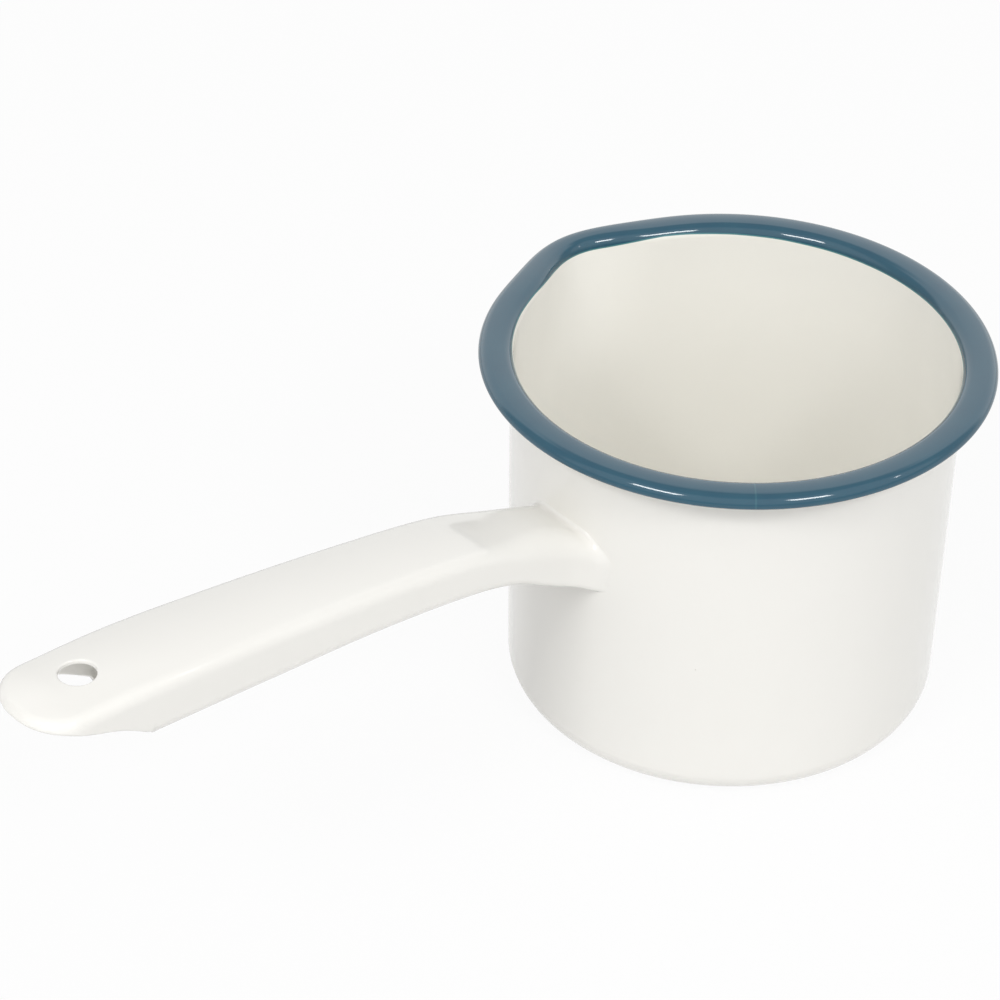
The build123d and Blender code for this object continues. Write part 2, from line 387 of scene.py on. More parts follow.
def coat_tree():
    """Turns a closed outline round the pan's axis and presses the spout out of it."""
    tree = bpy.data.node_groups.new("coat_round_the_pan", "GeometryNodeTree")
    name_sockets(
        tree, "INPUT", Geometry=["Outline"], Int=["Azimuth Steps"], Float=coat_sizes, Material=["Finish"]
    )
    name_sockets(tree, "OUTPUT", Geometry=["Coat"])
    given = tree.nodes.new("NodeGroupInput").outputs
    outline = given["Outline"]
    size = add_node(tree, "GeometryNodeAttributeDomainSize", {"Geometry": outline}, component="MESH")
    count = size.outputs["Point Count"]
    rows = maths(tree, "ADD", count, 1)
    columns = maths(tree, "ADD", given["Azimuth Steps"], 1)
    grid = add_node(tree, "GeometryNodeMeshGrid", {"Vertices X": columns, "Vertices Y": rows})
    index = tree.nodes.new("GeometryNodeInputIndex").outputs[0]
    column = maths(tree, "FLOOR", maths(tree, "DIVIDE", maths(tree, "ADD", index, 0.5), rows))
    row = maths(tree, "SUBTRACT", index, maths(tree, "MULTIPLY", column, rows))
    around = maths(tree, "MODULO", row, count)
    position = tree.nodes.new("GeometryNodeInputPosition").outputs[0]
    point = at_index(tree, outline, position, around, "FLOAT_VECTOR")
    marks = add_node(tree, "GeometryNodeInputNamedAttribute", {"Name": "from_line"}, data_type="FLOAT")
    line_way = at_index(tree, outline, marks.outputs[0], around, "FLOAT")
    drawn = add_node(tree, "ShaderNodeSeparateXYZ", {0: point}).outputs
    angle = maths(tree, "MULTIPLY", maths(tree, "DIVIDE", column, given["Azimuth Steps"]), 2 * pi)
    distance, height = spout_push(tree, given, angle, drawn["X"], drawn["Z"])
    across = maths(tree, "MULTIPLY", distance, maths(tree, "COSINE", angle))
    along = maths(tree, "MULTIPLY", distance, maths(tree, "SINE", angle))
    place = add_node(tree, "ShaderNodeCombineXYZ", {"X": across, "Y": along, "Z": height}).outputs[0]
    line_kept = {"Name": "from_line", "Value": line_way}
    shape = grid.outputs["Mesh"]
    for kind, inputs, settings in (
        ("GeometryNodeSetPosition", {"Position": place}, {}),
        ("GeometryNodeStoreNamedAttribute", line_kept, {"data_type": "FLOAT"}),
        ("GeometryNodeMergeByDistance", {"Distance": given["Same Place"]}, {}),
        ("GeometryNodeRealizeInstances", {}, {}),
        ("GeometryNodeSetMaterial", {"Material": given["Finish"]}, {}),
    ):
        shape = add_node(tree, kind, {"Geometry": shape, **inputs}, **settings).outputs[0]
    add_node(tree, "NodeGroupOutput", {"Coat": shape})
    return tree


def join_rows(faces, near, far, columns):
    """Adds four-sided faces between two rows of points, in the given columns."""
    for column in columns:
        after = (column + 1) % len(near)
        faces.append((near[column], near[after], far[after], far[column]))


def link_new(name, mesh):
    """New object of a mesh, in the scene."""
    piece = bpy.data.objects.new(name, mesh)
    bpy.context.scene.collection.objects.link(piece)
    return piece


def settle(piece, stands_for):
    """Turns faces outwards, keeps real corners sharp, puts the piece under its body and hides the CAD node
    that it stands for.
    """
    shape = bmesh.new()
    shape.from_mesh(piece.data)
    bmesh.ops.recalc_face_normals(shape, faces=shape.faces)
    shape.to_mesh(piece.data)
    shape.free()
    piece.data.shade_smooth()
    piece.data.set_sharp_from_angle(angle=radians(sharp_corner))
    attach(piece, "root")
    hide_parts(stands_for)
    return piece


def outline_mesh(name, parts, near_depth, far_depth):
    """Closed outline of one coat, marked with the way along it from the top of the wall."""
    near = face_run(parts, near_depth)
    far = face_run(parts, far_depth)
    ways = [0.0]
    for before, after in zip(near, near[1:]):
        ways.append(ways[-1] + hypot(after[0] - before[0], after[1] - before[1]))
    end = polar(flare_centre, flare_radius - near_depth, 180 - wall_lean)
    crossing = min(range(len(near)), key=lambda k: hypot(near[k][0] - end[0], near[k][1] - end[1]))
    ways = [way - ways[crossing] for way in ways]
    points = near + far[::-1]
    mesh = bpy.data.meshes.new(name)
    count = len(points)
    mesh.from_pydata([(x, 0, z) for x, z in points], [(k, (k + 1) % count) for k in range(count)], [])
    marks = mesh.attributes.new("from_line", "FLOAT", "POINT")
    marks.data.foreach_set("value", ways + ways[::-1])
    return mesh


def pan_coat(tree, name, parts, near_depth, far_depth, finish):
    """One coat or sheet of the pan, made by turning its outline round the axis."""
    piece = link_new(name, outline_mesh(name, parts, near_depth, far_depth))
    settings = {"Azimuth Steps": azimuth_steps, "Finish": finish, **coat_sizes}
    turning = piece.modifiers.new("coat", "NODES")
    turning.node_group = tree
    for socket in tree.interface.items_tree:
        if socket.in_out == "INPUT" and socket.name in settings:
            turning[socket.identifier] = settings[socket.name]
    graph = bpy.context.evaluated_depsgraph_get()
    made = bpy.data.meshes.new_from_object(piece.evaluated_get(graph))
    piece.modifiers.remove(turning)
    piece.data = made
    return piece


def station_table():
    """Distance, crest, width and depth of the handle's stations, from the foot to the grip's end."""
    foot = (foot_distance, foot_crest, foot_width, foot_depth)
    neck = (neck_distance, neck_crest, neck_width, neck_depth)
    grip = (grip_end, grip_crest, grip_width, grip_depth)
    rows = [[a + (b - a) * s for a, b, s in zip(foot, neck, step)] for step in foot_shares]
    rows += [[a + (b - a) * s for a, b, s in zip(neck, grip, step)] for step in grip_shares]
    return np.array(rows)


def smooth_line(knots, values):
    """Function that runs smoothly through values at the knots and never swings past them."""
    gaps = np.diff(knots)
    slopes = np.diff(values) / gaps
    ways = np.concatenate([slopes[:1], (slopes[1:] + slopes[:-1]) / 2, slopes[-1:]])
    for k in range(len(slopes)):
        limit = 3 * abs(slopes[k])
        ways[k : k + 2] = np.clip(ways[k : k + 2], -limit, limit)
        if slopes[k] * ways[k] < 0:
            ways[k] = 0

    def value(x):
        k = int(np.clip(np.searchsorted(knots, x) - 1, 0, len(slopes) - 1))
        way = (x - knots[k]) / gaps[k]
        start = values[k] * (1 + 2 * way) * (1 - way) ** 2 + ways[k] * gaps[k] * way * (1 - way) ** 2
        end = values[k + 1] * way**2 * (3 - 2 * way) - ways[k + 1] * gaps[k] * way**2 * (1 - way)
        return start + end

    return value


def blurred(line, reach):
    """The same line with its bends evened out over a short reach."""
    return lambda x: sum(line(x + reach * step) for step in (-1, -0.5, 0, 0.5, 1)) / 5


stations = station_table()
crest_line, width_line, depth_line = [
    blurred(smooth_line(stations[:, 0], stations[:, k]), line_blur) for k in (1, 2, 3)
]
tongue_span = (tongue_length, grip_depth)
tongue_points = np.array(tongue_shares) * tongue_span + (tongue_start, grip_crest - grip_depth)
tongue_line = smooth_line(tongue_points[:, 0], tongue_points[:, 1])


def ease(value, start, end):
    """Smooth way from 0 at the start to 1 at the end."""
    way = min(1.0, max(0.0, (value - start) / (end - start)))
    return way * way * (3 - 2 * way)


def half_path(distance):
    """Right half of the handle's section, from the crest to the underside's middle, with its normals."""
    crest, width, depth = crest_line(distance), width_line(distance), depth_line(distance)
    half_width = width / 2
    share = ease(distance, rounding_start, rounding_end)
    shoulder = root_shoulder + (shoulder_radius - root_shoulder) * share
    under = root_under + (under_radius - root_under) * share
    side = half_width - shoulder
    shoulder_drop = sqrt((top_radius - shoulder) ** 2 - side**2)
    top_centre = (0, crest - top_radius)
    shoulder_centre = (side, top_centre[1] + shoulder_drop)
    turn = 90 - degrees(asin(side / (top_radius - shoulder)))
    under_centre = (half_width - under, crest - depth + under)
    path = []
    for centre, radius, start, end, steps in (
        (top_centre, top_radius, 90, turn, crown_columns),
        (shoulder_centre, shoulder, turn, 0, path_steps),
        (under_centre, under, 0, -90, path_steps),
    ):
        for step in range(steps + 1):
            angle = start + (end - start) * step / steps
            path.append((*polar(centre, radius, angle), cos(radians(angle)), sin(radians(angle))))
    path.append((0, crest - depth, 0, -1))
    return np.array(path)


def path_lengths(path):
    """Length of the way along a path at each of its points."""
    return np.concatenate([[0], np.cumsum(np.hypot(*np.diff(path[:, :2], axis=0).T))])


def end_length(path, lengths, distance):
    """Length along the half section at which the sheet ends."""
    half_width = width_line(distance) / 2
    opened = half_width - foot_edge
    slot = opened + (slot_half - opened) * ease(distance, skirt_end, flange_start)
    under = lengths > lengths[crown_columns + path_steps + 1]
    slot_end = np.interp(-slot, -path[under, 0], lengths[under])
    falling = slice(crown_columns + 1, crown_columns + 2 * path_steps + 3)
    edge_height = tongue_line(distance)
    tongue_end = np.interp(-edge_height, -path[falling, 1], lengths[falling])
    share = ease(distance, tongue_start, tongue_start + flange_end)
    return slot_end + (tongue_end - slot_end) * share


def half_loop(distance, outset, inset, edge_distance=None):
    """Right half of the folded sheet's section between two depths: outer face, rounded edge, inner face."""
    path = half_path(distance)
    lengths = path_lengths(path)
    thickness = inset - outset
    end = end_length(path, lengths, distance if edge_distance is None else edge_distance)
    end -= thickness / 2 + outset
    start = lengths[crown_columns]
    wanted = np.concatenate([lengths[:crown_columns], np.linspace(start, end, side_columns)])
    outer = np.stack([np.interp(wanted, lengths, path[:, k]) for k in range(4)], axis=1)
    outer[:, 2:] /= np.hypot(outer[:, 2], outer[:, 3])[:, None]
    places, normals = outer[:, :2], outer[:, 2:]
    middle = places[-1] - normals[-1] * (outset + thickness / 2)
    onward = np.array([normals[-1][1], -normals[-1][0]])
    edge = []
    for step in range(1, edge_columns):
        turn = pi * step / edge_columns
        edge.append(middle + (normals[-1] * cos(turn) + onward * sin(turn)) * thickness / 2)
    return np.concatenate([places - normals * outset, edge, (places - normals * inset)[::-1]])


def wall_distance(across, height):
    """How far the finished wall stands from the axis along the handle's direction."""
    radius = base_radius + (height - base_corner) * tan(radians(wall_lean))
    return sqrt(radius**2 - across**2)


def grip_rows(outset, inset):
    """Rings of the handle from beside the wall to the grip's end, as whole closed loops."""
    rows = []
    start = wall_distance(0, foot_crest) + fillet_radius
    fine = np.arange(tongue_start - flange_end, tongue_start + 2 * flange_end, fine_row)
    distances = np.concatenate(
        [
            np.arange(start, fine[0] - fine_row, row_step),
            fine,
            np.arange(fine[-1] + fine_row, hole_from, hole_row),
            np.linspace(hole_from, hole_to, hole_rows + 1),
            np.linspace(hole_to, grip_end, last_rows + 1)[1:],
        ]
    )
    for distance in distances:
        half = half_loop(distance, outset, inset)
        share = 1 - ease(distance, start, skirt_end)
        ring = []
        for across, height in half:
            back = (start - fillet_radius - wall_distance(across, height)) * share
            ring.append((-(distance - back), across, height))
        rows.append(whole_loop(ring))
    return rows, distances


def whole_loop(half):
    """Closed loop from its right half, which starts and ends on the middle plane."""
    return half + [(x, -y, z) for x, y, z in half[-2:0:-1]]


def fillet_fades(outset):
    """Share of the fillet round a ring: whole on the outside, none at the sheet's edge and inside."""
    fades = np.zeros(loop_columns)
    outer = crown_columns + side_columns
    fades[:outer] = 1.0
    fades[outer - flank_fade : outer + edge_columns - 1] = np.linspace(1, 0, edge_columns + flank_fade - 1)
    return np.concatenate([fades, fades[-2:0:-1]]) * (1.0 if outset == 0 else core_fillet)


def fillet_handles(here, before, around, fade):
    """Ends and pull points of the curve from one point of the first ring to the pan's wall."""
    inward = here - before
    inward /= np.linalg.norm(inward)
    outward = np.cross((1.0, 0.0, 0.0), around)
    outward = outward[1:] / max(np.hypot(*outward[1:]), same_place)
    upright = fillet_top if outward[1] > 0 else fillet_bottom
    spread = fade * (fillet_flank * outward[0] ** 4 + upright * outward[1] ** 4)
    end = here[1:] + inward[1:] / inward[0] * fillet_radius + outward * spread
    reach = wall_distance(*end) - wall_sink
    target = np.array([-reach, *end])
    along = np.array([end[0] / reach * outward[0], *outward])
    along /= np.linalg.norm(along)
    return here, here + inward * fillet_radius * fillet_pull, target - along * spread * fillet_pull, target


def fillet_ring(first, second, outset):
    """Rows that run from the first ring out to the pan's wall, in a rounded fillet."""
    first, second = np.array(first), np.array(second)
    around = np.roll(first, -1, axis=0) - np.roll(first, 1, axis=0)
    loops = [fillet_handles(*given) for given in zip(first, second, around, fillet_fades(outset))]
    rows = []
    for step in range(1, fillet_rows + 1):
        way = step / fillet_rows
        weights = ((1 - way) ** 3, 3 * way * (1 - way) ** 2, 3 * way**2 * (1 - way), way**3)
        rows.append([sum(w * p for w, p in zip(weights, handles)) for handles in loops])
    return rows


def tip_halves(outset, inset):
    """Half loops turned round the grip's end, from one side to the other."""
    halves = []
    half_width = grip_width / 2
    shortening = half_width - tip_length
    for step in range(1, tip_columns):
        turn = pi * step / tip_columns
        side_share, end_share = abs(cos(turn)) ** tip_squareness, abs(sin(turn)) ** tip_squareness
        square = (side_share + end_share) ** (-1 / tip_squareness)
        edge_distance = grip_end + sin(turn) * square * (half_width - shortening)
        half = half_loop(grip_end, outset, inset, edge_distance)
        points = []
        for across, height in half:
            reach = across - shortening * sin(pi / 2 * across / half_width)
            points.append((-(grip_end + reach * square * sin(turn)), across * square * cos(turn), height))
        halves.append(points)
    return halves


def crown_height(distance, across, depth):
    """Height of the handle's top face, or of a face at a depth below it."""
    radius = top_radius - depth
    return crest_line(distance) - top_radius + sqrt(radius**2 - across**2)


def hole_profile(outset, inset):
    """How far each ring of the hanging hole stands from its wall, and its depth."""
    steps = [pi / 2 * k / hole_round_steps for k in range(1, hole_round_steps + 1)]
    profile = [(outset + hole_round * (1 - sin(t)), outset + hole_round * (1 - cos(t))) for t in steps]
    return profile + [(away, outset + inset - depth) for away, depth in profile[::-1]]


def add_hole(points, faces, ids, outset, inset):
    """Fills the gap left in both faces round the hanging hole, and gives the hole its wall."""
    outer_ring, inner_ring = ids
    outer_start, inner_start = ([points[k] for k in ring] for ring in ids)
    angles = [atan2(y, -x - hole_distance) for x, y, z in outer_start]
    away = hole_radius + outset + hole_round
    rings = [outer_ring]

    def add_ring(start, way, away, depth):
        places = []
        for (x, y, z), angle in zip(start, angles):
            distance = -x + (hole_distance + away * cos(angle) + x) * way
            across = y + (away * sin(angle) - y) * way
            places.append((-distance, across, crown_height(distance, across, depth)))
        rings.append(range(len(points), len(points) + len(places)))
        points.extend(places)

    for step in range(1, patch_rings + 1):
        add_ring(outer_start, step / patch_rings, away, outset)
    for past, depth in hole_profile(outset, inset):
        add_ring(outer_start, 1, hole_radius + past, depth)
    for step in range(patch_rings, 0, -1):
        add_ring(inner_start, step / patch_rings, away, inset)
    rings.append(inner_ring)
    for near, far in zip(rings, rings[1:]):
        join_rows(faces, near, far, range(len(near)))


def weld_seam(name, outset, inset):
    """Seam that joins the handle's sheet to the wall, in the sheet's own section."""
    rows, _ = grip_rows(outset, inset)
    rows = fillet_ring(rows[0], rows[1], outset)[::-1][: seam_rows + 1]
    width = len(rows[0])
    places = [range(row * width, (row + 1) * width) for row in range(len(rows))]
    faces = []
    for near, far in zip(places, places[1:]):
        join_rows(faces, near, far, range(width))
    for row in (0, seam_rows):
        root_faces(faces, row * width, width)
    mesh = bpy.data.meshes.new(name)
    mesh.from_pydata([tuple(point) for row in rows for point in row], [], faces)
    return link_new(name, mesh)


def handle_layer(name, outset, inset, first_row=0):
    """One layer of the folded handle between two depths: the steel sheet, or the whole enamelled handle."""
    rows, distances = grip_rows(outset, inset)
    rows = (fillet_ring(rows[0], rows[1], outset)[::-1] + rows)[first_row:]
    points = [tuple(point) for row in rows for point in row]
    width = len(rows[0])
    faces = []
    first = len(rows) - len(distances)
    hole_first = first + int(np.searchsorted(distances, hole_from - same_place))
    hole_last = hole_first + hole_rows
    columns = [k for k in range(crown_columns + 1) if rows[hole_first][k][1] < hole_patch]
    reach = columns[-1]
    middle = loop_columns - 1

    def in_patch(row, column):
        near_crest = column < reach or column >= width - reach
        near_middle = middle - reach <= column < middle + reach
        return hole_first <= row < hole_last and (near_crest or near_middle)

    for row in range(len(rows) - 1):
        near, far = range(row * width, (row + 1) * width), range((row + 1) * width, (row + 2) * width)
        join_rows(faces, near, far, [column for column in range(width) if not in_patch(row, column)])
    root_faces(faces, 0, width)
    outer = patch_edge(hole_first, hole_last, reach, width, lambda c: c % width)
    inner = patch_edge(hole_first, hole_last, reach, width, lambda c: middle - c)
    add_hole(points, faces, (outer, inner), outset, inset)
    add_tip(points, faces, (len(rows) - 1) * width, tip_halves(outset, inset))
    mesh = bpy.data.meshes.new(name)
    mesh.from_pydata(points, [], faces)
    return link_new(name, mesh)


def patch_edge(first, last, reach, width, column_of):
    """Ring of points round the hole's patch, in order."""
    ring = [first * width + column_of(c) for c in range(-reach, reach)]
    ring += [row * width + column_of(reach) for row in range(first, last)]
    ring += [last * width + column_of(c) for c in range(reach, -reach, -1)]
    return ring + [row * width + column_of(-reach) for row in range(last, first, -1)]


def root_faces(faces, first, width):
    """Closes the folded sheet's section across one ring."""
    middle = loop_columns - 1
    for column in range(middle):
        if column < middle - 1 - column:
            right = [column, column + 1, middle - 1 - column, middle - column]
            left = [(width - k) % width for k in right[::-1]]
            faces.append(tuple(first + k for k in right))
            faces.append(tuple(first + k for k in left))


def add_tip(points, faces, last, halves):
    """Closes the grip's end with the turned half loops."""
    width = 2 * (loop_columns - 1)
    middle = loop_columns - 1
    first = [last + k for k in range(1, middle)]
    other = [last + width - k for k in range(1, middle)]
    columns = [first]
    for half in halves:
        columns.append(list(range(len(points), len(points) + middle - 1)))
        points.extend(half[1:-1])
    columns.append(other)
    for near, far in zip(columns, columns[1:]):
        faces.append((last, near[0], far[0]))
        faces.append((last + middle, far[-1], near[-1]))
        join_rows(faces, near, far, range(middle - 2))


# Finishes
cloud_detail = 3.0
wide_detail = 1.0
fine_detail = 2.0
fine_ripple_scale = 5.0
fine_ripple_share = 0.12
pinhole_heart = 0.6
pinhole_depth = 2.0
grain_detail = 6.0
patch_detail = 2.0
patch_scale = 0.06
steel_gloss = 0.3
steel_dull = 0.6
enamel_shader = {"IOR": 1.6}
white_shader = {"IOR": 1.47}
steel_shader = {"Metallic": 1.0}
white_colour = (0.86, 0.848, 0.812)
white_cloud = (0.845, 0.832, 0.79)
white_pinhole = (0.5, 0.46, 0.4)
cream_colour = (0.925, 0.912, 0.862)
cream_cloud = (0.915, 0.9, 0.845)
cream_pinhole = (0.35, 0.28, 0.18)
blue_colour = (0.01, 0.068, 0.116)
blue_cloud = (0.016, 0.092, 0.138)
blue_pinhole = (0.2, 0.35, 0.4)
sheet_colour = (0.36, 0.36, 0.37)
sheet_scale = (0.2, 0.2, 0.21)
weld_colour = (0.3, 0.3, 0.31)
weld_scale = (0.14, 0.13, 0.14)
sheet_grain = {"Grain Scale": 900.0, "Grain Height": 0.000005}
weld_grain = {"Grain Scale": 1600.0, "Grain Height": 0.00002}

# Blue paint's lower edge, its green fringe and the faint mark across the rim
line_rise = 0.00135
line_fall_share = 0.62
line_waver = 0.0004
line_waver_scale = 55.0
line_softness = 0.00006
spout_fall_from = 0.056
spout_fall = 0.008
fringe_width = 0.0005
fringe_colour = (0.07, 0.24, 0.26, 1)
mark_azimuth = -129.3
mark_width = 0.0003
mark_share = 0.2


def put_out(tree, colour, roughness, normal):
    """Gives a group its three outputs."""
    name_sockets(tree, "OUTPUT", Color=["Colour"], Float=["Roughness"], Vector=["Normal"])
    add_node(tree, "NodeGroupOutput", {"Colour": colour, "Roughness": roughness, "Normal": normal})


def enamel_group():
    """Fired enamel: cloudy tone, pinholes, a slightly rippled surface and an uneven gloss."""
    tree = bpy.data.node_groups.new("fired_enamel", "ShaderNodeTree")
    sizes = ["Cloud Scale", "Cloud Share", "Pinhole Scale", "Pinhole Radius", "Gloss Roughness"]
    sizes += ["Dull Roughness", "Ripple Scale", "Ripple Height"]
    colours = ["Colour", "Cloud Colour", "Pinhole Colour"]
    name_sockets(tree, "INPUT", Vector=["Place"], Color=colours, Float=sizes)
    given = tree.nodes.new("NodeGroupInput").outputs
    place = given["Place"]
    clouds = noise(tree, place, given["Cloud Scale"], cloud_detail)
    cloud_share = maths(tree, "MULTIPLY", clouds, given["Cloud Share"], clamp=True)
    tone = mix_colours(tree, cloud_share, given["Colour"], given["Cloud Colour"])
    cells = add_node(tree, "ShaderNodeTexVoronoi", {"Vector": place, "Scale": given["Pinhole Scale"]})
    edge = maths(tree, "MULTIPLY", given["Pinhole Radius"], given["Pinhole Scale"])
    heart = maths(tree, "MULTIPLY", edge, pinhole_heart)
    pinholes = soft_step(tree, cells.outputs["Distance"], edge, heart)
    tone = mix_colours(tree, pinholes, tone, given["Pinhole Colour"])
    wide = noise(tree, place, given["Ripple Scale"], wide_detail)
    fine_scale = maths(tree, "MULTIPLY", given["Ripple Scale"], fine_ripple_scale)
    fine = noise(tree, place, fine_scale, fine_detail)
    surface = maths(tree, "MULTIPLY_ADD", fine, fine_ripple_share, wide)
    surface = maths(tree, "SUBTRACT", surface, maths(tree, "MULTIPLY", pinholes, pinhole_depth))
    bump = add_node(tree, "ShaderNodeBump", {"Height": surface, "Distance": given["Ripple Height"]})
    gloss = map_range(tree, fine, to_min=given["Gloss Roughness"], to_max=given["Dull Roughness"])
    put_out(tree, tone, gloss, bump.outputs[0])
    return tree


def steel_group():
    """Pressed steel sheet: rolling grain, grey scale and dull patches."""
    tree = bpy.data.node_groups.new("pressed_steel", "ShaderNodeTree")
    sizes = ["Grain Scale", "Grain Height"]
    name_sockets(tree, "INPUT", Vector=["Place"], Color=["Colour", "Scale Colour"], Float=sizes)
    given = tree.nodes.new("NodeGroupInput").outputs
    place = given["Place"]
    grain = noise(tree, place, given["Grain Scale"], grain_detail)
    patches = noise(tree, place, maths(tree, "MULTIPLY", given["Grain Scale"], patch_scale), patch_detail)
    tone = mix_colours(tree, patches, given["Colour"], given["Scale Colour"])
    rough = map_range(tree, grain, to_min=steel_gloss, to_max=steel_dull)
    bump = add_node(tree, "ShaderNodeBump", {"Height": grain, "Distance": given["Grain Height"]})
    put_out(tree, tone, rough, bump.outputs[0])
    return tree


def new_finish(name, group, values, plain):
    """Material that takes colour, roughness and normal from a group, and plain numbers on its shader."""
    finish = bpy.data.materials.new(name)
    finish.use_nodes = True
    tree = finish.node_tree
    tree.nodes.clear()
    place = tree.nodes.new("ShaderNodeTexCoord").outputs["Object"]
    surface = add_node(tree, "ShaderNodeGroup", {"Place": place, **values}, node_tree=group)
    given = surface.outputs
    painted = {"Base Color": given["Colour"], "Roughness": given["Roughness"], "Normal": given["Normal"]}
    shader = add_node(tree, "ShaderNodeBsdfPrincipled", {**plain, **painted})
    add_node(tree, "ShaderNodeOutputMaterial", {"Surface": shader.outputs[0]})
    return finish, surface, shader


def enamel_values(colour, cloud, pinhole):
    """Values of the enamel group for one colour of enamel."""
    return {
        "Colour": (*colour, 1),
        "Cloud Colour": (*cloud, 1),
        "Cloud Scale": 28.0,
        "Cloud Share": 0.8,
        "Pinhole Colour": (*pinhole, 1),
        "Pinhole Scale": 62.0,
        "Pinhole Radius": 0.00018,
        "Gloss Roughness": 0.03,
        "Dull Roughness": 0.09,
        "Ripple Scale": 75.0,
        "Ripple Height": 0.00003,
    }


def white_enamel(group):
    """Warm white enamel of the wall, base and handle."""
    values = enamel_values(white_colour, white_cloud, white_pinhole)
    values.update({"Gloss Roughness": 0.07, "Dull Roughness": 0.16})
    return new_finish("white_enamel", group, values, white_shader)[0]


def cream_enamel(group):
    """Cream enamel of the pan's inside."""
    values = enamel_values(cream_colour, cream_cloud, cream_pinhole)
    return new_finish("cream_enamel", group, values, enamel_shader)[0]


def past_line(tree, place, parts):
    """How far a point of the rim's coat lies past the paint's uneven lower edge."""
    fall_length = line_fall_share * base_radius
    side = maths(tree, "MULTIPLY_ADD", parts["X"], -1 / fall_length, 1 / line_fall_share)
    side = maths(tree, "MINIMUM", maths(tree, "MAXIMUM", side, 0.0), 1.0)
    spoutward = map_range(tree, parts["Y"], from_min=spout_fall_from, from_max=spout_fall_from + spout_fall)
    rise = maths(tree, "MULTIPLY", maths(tree, "SUBTRACT", side, spoutward), line_rise)
    line = maths(tree, "MULTIPLY_ADD", noise(tree, place, line_waver_scale, wide_detail), line_waver, rise)
    line = maths(tree, "SUBTRACT", line, line_waver / 2)
    way = add_node(tree, "ShaderNodeAttribute", {}, attribute_name="from_line")
    return maths(tree, "SUBTRACT", way.outputs["Fac"], line)


def rim_mark(tree, parts):
    """Share of the faint mark that runs across the rim."""
    turned = maths(tree, "SUBTRACT", maths(tree, "ARCTAN2", parts["Y"], parts["X"]), radians(mark_azimuth))
    beside = maths(tree, "MULTIPLY", maths(tree, "ABSOLUTE", turned), rim_radius)
    ends = {"from_min": mark_width / 2, "from_max": mark_width, "to_min": mark_share, "to_max": 0.0}
    return map_range(tree, beside, **ends)


def blue_enamel(group):
    """Petrol blue enamel of the rim, which ends in a thin green fringe at an uneven line over the cream."""
    values = enamel_values(blue_colour, blue_cloud, blue_pinhole)
    values["Cloud Scale"] = 110.0
    finish, surface, shader = new_finish("blue_enamel", group, values, enamel_shader)
    tree = finish.node_tree
    place = surface.inputs["Place"].links[0].from_socket
    cream_values = enamel_values(cream_colour, cream_cloud, cream_pinhole)
    under = add_node(tree, "ShaderNodeGroup", {"Place": place, **cream_values}, node_tree=group)
    parts = add_node(tree, "ShaderNodeSeparateXYZ", {0: place}).outputs
    past = past_line(tree, place, parts)
    painted = map_range(tree, past, from_min=-line_softness, from_max=line_softness)
    thin = map_range(tree, past, from_min=fringe_width / 2, from_max=fringe_width, to_min=1.0, to_max=0.0)
    tone = mix_colours(tree, thin, surface.outputs["Colour"], fringe_colour)
    tone = mix_colours(tree, rim_mark(tree, parts), tone, fringe_colour)
    tone = mix_colours(tree, painted, under.outputs["Colour"], tone)
    tree.links.new(tone, shader.inputs["Base Color"])
    return finish


def steel_finish(name, group, colour, scale_colour, grain):
    """Bare steel under the enamel: the sheet, or the darker and coarser weld."""
    values = {"Colour": (*colour, 1), "Scale Colour": (*scale_colour, 1), **grain}
    return new_finish(name, group, values, steel_shader)[0]


enamel_look = enamel_group()
steel_look = steel_group()
cream = cream_enamel(enamel_look)
white = white_enamel(enamel_look)
blue = blue_enamel(enamel_look)
steel = steel_finish("sheet_steel", steel_look, sheet_colour, sheet_scale, sheet_grain)
weld = steel_finish("weld_steel", steel_look, weld_colour, weld_scale, weld_grain)

# Pan: the steel cup and its three coats
coat_maker = coat_tree()
inside_parts = (floor_part, corner_part, wall_part)
rim_parts = (flare_part, crown_part, roll_part, curl_part)
outside_parts = inside_parts + (flare_part, crown_part, roll_part)
cup = pan_coat(coat_maker, "steel_cup", inside_parts + rim_parts, enamel, enamel + pan_sheet, steel)
inside = pan_coat(coat_maker, "cream_inside", inside_parts, 0, enamel, cream)
outside = pan_coat(coat_maker, "white_outside", outside_parts, wall - enamel, wall, white)
rim = pan_coat(coat_maker, "blue_rim", rim_parts, 0, enamel, blue)
settle(cup, "pan_shell")
settle(inside, "inner_enamel")
settle(outside, "outer_enamel")
settle(rim, "rim_enamel")

# Handle: the folded steel sheet and its coat
handle_core = handle_layer("folded_steel_handle", enamel, enamel + handle_sheet, seam_rows)
handle_core.data.materials.append(steel)
settle(handle_core, "handle_shell")
seam = weld_seam("root_seam", enamel, enamel + handle_sheet)
seam.data.materials.append(weld)
settle(seam, "handle_weld")
handle_coat = handle_layer("white_handle", 0, handle_wall)
handle_coat.data.materials.append(white)
settle(handle_coat, "handle_enamel")

# Camera, at the photograph's angle
camera_place = (-0.5318, -0.5283, 0.6061)
camera_azimuth = 49.67
camera_tilt = 36.391
camera_roll = 0.853
camera_lens = 119.81
sensor_width = 36.0


